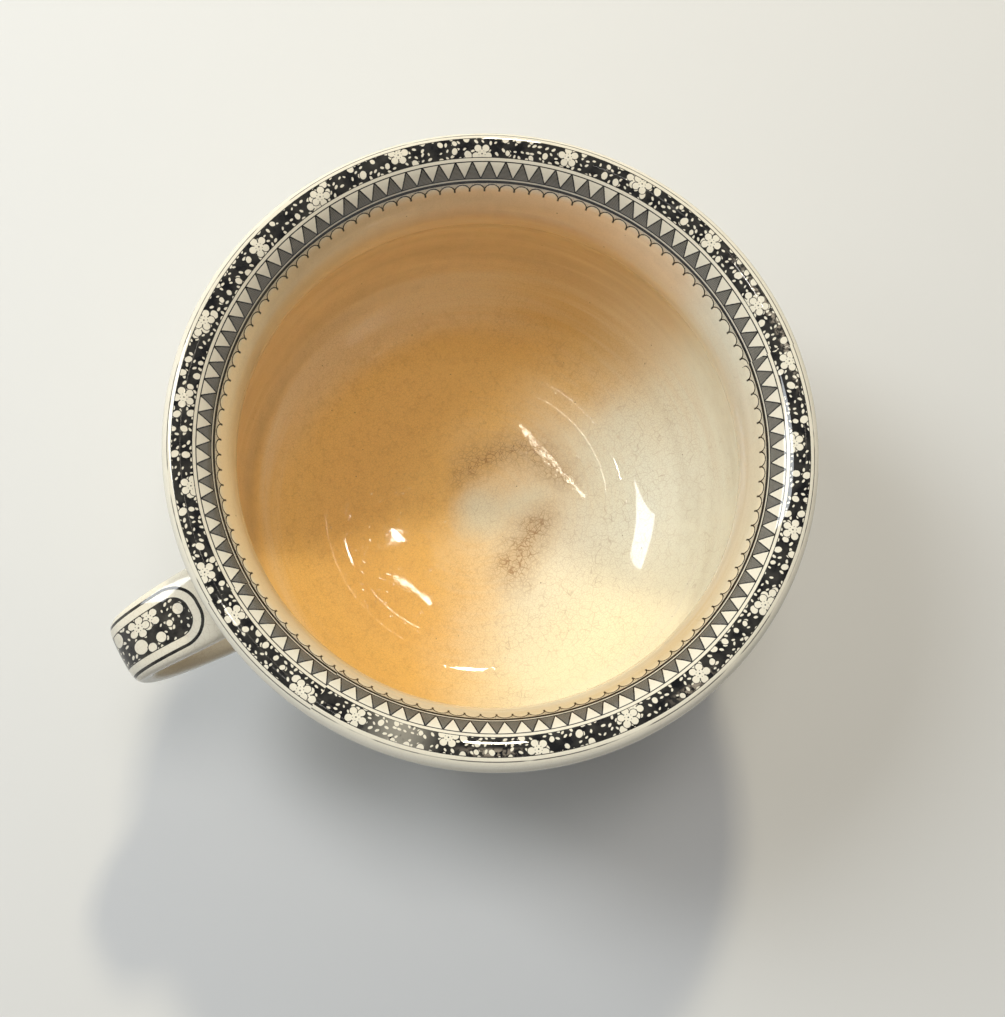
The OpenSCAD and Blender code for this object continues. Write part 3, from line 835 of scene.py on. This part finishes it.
def slip_ring(name, node, inner, outer, away):
    """A ring of slip round one root: for each strand a hollow quadratic curve from the strap to the wall,
    pulled towards the corner between them, and closed by three points behind it inside the clay."""
    root = wall_meets(0, inner, outer, SLIP_DEPTH)
    spread = wall_meets(SLIP_REACH, inner, outer, SLIP_DEPTH)
    top = root + away * SLIP_REACH
    on_strap, on_wall = strap(top, -SLIP_BITE), strap(spread, SLIP_REACH)
    corner = strap(root) * SLIP_PULL + (on_strap + on_wall) * (1 - SLIP_PULL) / 2
    t = np.linspace(0, 1, SLIP_ROWS)[:, None, None]
    hollow = (1 - t) ** 2 * on_strap + 2 * t * (1 - t) * corner + t * t * on_wall
    in_wall = strap(spread - away, SLIP_REACH)
    in_strap = strap(root - away, -SLIP_BEHIND), strap(top, -SLIP_BEHIND)
    grid = np.concatenate([hollow, [in_wall, *in_strap]])
    piece = skin(name, grid[::away], np.zeros(STRANDS + 1), np.zeros((len(grid), 1)), ring=True)
    shader, place, _ = new_finish(name + "_glaze", piece)
    cloud = place.noise(*SLIP_CLOUD)
    colour = cloud.paint(IVORY, POOLED)
    colour = (crackle(place, *STRAP_CRACKS) * SLIP_CRACKED).paint(colour, CRACK)
    peel = place.noise(*SLIP_PEEL)
    bump = {"Height": peel, "Strength": 0.3, "Distance": 0.0005}
    finish(
        shader,
        Base_Color=colour,
        Roughness=cloud * SLIP_ROUGH_RANGE + SLIP_ROUGH,
        IOR=GLAZE_IOR,
        Normal=peel.node("ShaderNodeBump", {}, bump),
    )
    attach(piece, "root")
    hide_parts(node)


slip_ring("upper_slip_joint", "upper_slip", 0, ROOT_ZONE, 1)
slip_ring("lower_slip_joint", "lower_slip", path_end, path_end - ROOT_ZONE, -1)


# Studio: a pale floor fading into a pale backdrop, two window lamps side by side, a small warm lamp, a
# wide one overhead, and three small ones that only glint in the glaze. The camera looks down into the
# pot from close by. Lengths are metres here, apart from the floor's fade, which is in millimetres.
FLOOR_HALF = 4.0
FLOOR_COLOUR, FLOOR_ROUGH = (0.70, 0.70, 0.695, 1), 0.9
CAMERA_AT = (0.10107, 0.10557, 0.64935)
CAMERA_TURN, CAMERA_YAW, CAMERA_PITCH = 151.2, 4.35, -12.51
LENS, SENSOR = 49.56, 36
SKY = (0.213, 0.216, 0.22, 1)
BACKDROP, FADE_R, FADE_SOFT = (0.80, 0.80, 0.79, 1), 1000, 450
HORIZON, HORIZON_SOFT = 0.42, 0.17
LAMPS_AIM = Vector((0, 0, 0.07))

corner = FLOOR_HALF * np.array([[-1, -1, 0], [1, -1, 0], [1, 1, 0], [-1, 1, 0]])
mesh = bpy.data.meshes.new("floor")
mesh.from_pydata(corner, [], [[0, 1, 2, 3]])
floor = bpy.data.objects.new("floor", mesh)
bpy.context.scene.collection.objects.link(floor)
shader, place, _ = new_finish("floor_paper", floor)
finish(shader, Base_Color=FLOOR_COLOUR, Roughness=FLOOR_ROUGH)


def seen_ray(field):
    """1 on the rays that show the backdrop: the camera's own, and those through gloss and glass."""
    path = field.node("ShaderNodeLightPath", {}, {}, out="Is Camera Ray")
    return path.most(path.beside("Is Glossy Ray")).most(path.beside("Is Transmission Ray"))


x, y, _ = place.parts()
far = 1 - from_point(x, y, (0, 0)).under(FADE_R, FADE_SOFT)
glow = far.node("ShaderNodeEmission", {}, {"Color": BACKDROP})
glow = far.node("ShaderNodeMixShader", {}, {0: far * seen_ray(far), 1: shader, 2: glow})
tree = shader.socket.id_data
tree.links.new(glow.socket, tree.nodes["Material Output"].inputs["Surface"])


def lamp(name, azimuth, elevation, distance, size, power, colour, mirrored=True, roll=0.0):
    """A lamp that faces the pot from an azimuth and an elevation, and shows in its gloss or not."""
    light = bpy.data.lights.new(name, "AREA")
    light.shape, light.size, light.energy, light.color = "RECTANGLE", size[0], power, colour
    light.size_y = size[1]
    flat, rise = along(azimuth), along(elevation)
    offset = Vector((flat[0] * rise[0], flat[1] * rise[0], rise[1]))
    made = bpy.data.objects.new(name, light)
    turn = offset.to_track_quat("Z", "Y").to_matrix().to_4x4() @ Matrix.Rotation(np.radians(roll), 4, "Z")
    made.matrix_world = Matrix.Translation(offset * distance + LAMPS_AIM) @ turn
    made.visible_glossy = mirrored
    bpy.context.scene.collection.objects.link(made)


lamp("window_lamp", -57, 47, 1.7, (0.48, 0.8), 13, (0.94, 0.98, 1))
lamp("side_window_lamp", -42, 45, 1.8, (0.8, 0.6), 4.5, (0.86, 0.96, 1), mirrored=False)
lamp("warm_lamp", -126, 45.5, 1.9, (0.16, 0.16), 15.3, (1, 0.895, 0.65))
lamp("small_lamp", -113.7, 78.6, 2.02, (0.027, 0.023), 0.12, (1, 0.95, 0.85))
lamp("near_tube_lamp", -117.8, 81.6, 2.0, (0.09, 0.009), 0.07, (1, 0.95, 0.85), roll=-38)
lamp("far_tube_lamp", -145, 72.8, 2.07, (0.19, 0.006), 0.1, (1, 0.9, 0.72), roll=-23)
lamp("ceiling_lamp", -125, 80, 2.2, (0.7, 0.7), 10.2, (1, 0.96, 0.9), mirrored=False)

world = bpy.data.worlds.new("even_light")
world.use_nodes = True
sky = Field(world.node_tree.nodes["Background"].outputs[0])
rise = sky.node("ShaderNodeTexCoord", {}, {}, out="Generated").parts()[2]
finish(sky, Color=(rise.under(HORIZON, HORIZON_SOFT) * seen_ray(rise)).paint(SKY, BACKDROP))
bpy.context.scene.world = world

view = bpy.data.cameras.new("view")
view.lens, view.sensor_width = LENS, SENSOR
camera = bpy.data.objects.new("view", view)
sight = Matrix.Rotation(np.radians(CAMERA_YAW), 3, "Y")
sight = sight @ Matrix.Rotation(np.radians(CAMERA_PITCH), 3, "X")
facing = Matrix.Rotation(np.radians(CAMERA_TURN), 3, "Z") @ sight.transposed()
camera.matrix_world = Matrix.Translation(CAMERA_AT) @ facing.to_4x4()
bpy.context.scene.collection.objects.link(camera)
bpy.context.scene.camera = camera
bpy.context.scene.view_settings.view_transform = "Standard"
